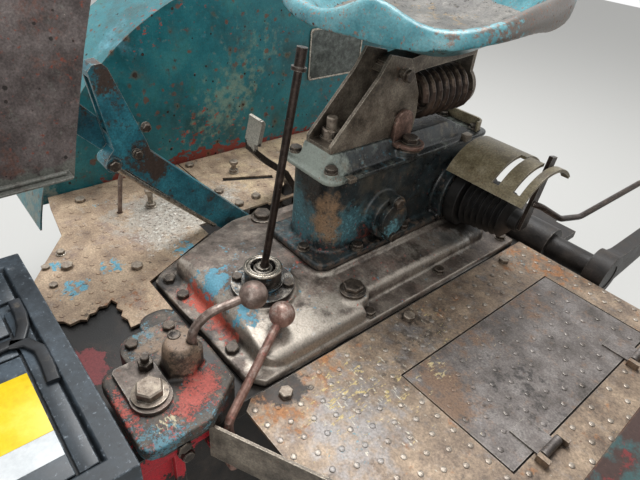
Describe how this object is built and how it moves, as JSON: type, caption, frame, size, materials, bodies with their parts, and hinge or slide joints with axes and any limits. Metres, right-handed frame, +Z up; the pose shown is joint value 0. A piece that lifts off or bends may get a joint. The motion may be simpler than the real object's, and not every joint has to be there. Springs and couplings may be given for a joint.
{
  "type": "vintage farm tractor, driver's station",
  "caption": "Driver's station of an old farm tractor: gearbox with levers, hydraulic lift housing, sprung pan seat, deck plates and rear mudguards.",
  "frame": {"origin": "centre of the engine flange at the front of the gearbox housing", "axes": "+X to the machine's left, +Y rearwards from the engine flange, +Z up"},
  "size_m": [1.519, 1.5422, 0.9175],
  "materials": {
    "cast_iron": "rough",
    "cover_iron": "satin",
    "lift_casting": "satin",
    "lid_casting": "matte",
    "bracket_steel": "matte",
    "dark_steel": "satin",
    "zinc_steel": "satin",
    "seat_blue": "matte",
    "seat_leather": "matte",
    "deck_worn": "matte",
    "deck_bare": "matte",
    "frame_black": "matte",
    "teal_paint": "satin",
    "box_paint": "matte",
    "cowl_paint": "matte",
    "guard_paint": "matte",
    "battery_case": "matte",
    "rubber": "matte",
    "plate": "satin"
  },
  "bodies": {
    "station": {"gearbox_housing": "cast_iron", "axle_tube_left": "cast_iron", "axle_tube_right": "cast_iron", "gearbox_cover": "cover_iron", "shift_collar": "cover_iron", "control_box": "box_paint", "control_plate": "zinc_steel", "selector_lever": "dark_steel", "range_lever": "dark_steel", "range_pivot": "cast_iron", "lift_housing": "lift_casting", "lift_lid": "lid_casting", "lift_side_cap": "teal_paint", "lid_loop": "guard_paint", "seat_bracket": "bracket_steel", "seat_arm": "bracket_steel", "arm_pin": "zinc_steel", "bracket_bolt": "zinc_steel", "seat_spring": "dark_steel", "seat_pan": "seat_blue", "seat_cushion": "seat_leather", "deck_left": "deck_bare", "deck_right_front": "deck_worn", "deck_right_rear": "deck_worn", "deck_frame_left": "frame_black", "deck_frame_right": "frame_black", "guard_right": "teal_paint", "guard_left": "teal_paint", "data_plate": "plate", "hand_lever_pivot": "cast_iron", "foot_pedal": "dark_steel", "latch_rod": "dark_steel", "deck_apron": "frame_black", "cowl_panel": "cowl_paint", "cowl_bulkhead": "cowl_paint", "battery_tray": "frame_black", "battery": "battery_case", "quadrant_guard": "guard_paint", "bellows": "rubber", "side_collar": "rubber", "lift_rod": "dark_steel"},
    "gear_lever": {"gear_lever": "dark_steel"},
    "hand_lever": {"hand_lever": "teal_paint"},
    "hatch": {"deck_hatch": "deck_bare"},
    "lift": {"lift_shaft": "dark_steel", "lift_arm_left": "cast_iron", "lift_arm_right": "cast_iron"}
  },
  "joints": [
    {"name": "gear_lever_tilt", "type": "hinge", "parent": "station", "child": "gear_lever", "pos_m": [0.05, 0.531, 0.267], "axis": [1, 0, 0], "range_deg": [-10, 10]},
    {"name": "hand_lever_pull", "type": "hinge", "parent": "station", "child": "hand_lever", "pos_m": [-0.21, 0.706, 0.127], "axis": [-1, 0, 0], "range_deg": [0, 35]},
    {"name": "hatch_open", "type": "hinge", "parent": "station", "child": "hatch", "pos_m": [0.5, 0.831, 0.2], "axis": [0, 1, 0], "range_deg": [0, 100]},
    {"name": "lift_raise", "type": "hinge", "parent": "station", "child": "lift", "pos_m": [0, 1.155, 0.191], "axis": [1, 0, 0], "range_deg": [-20, 30]}
  ]
}
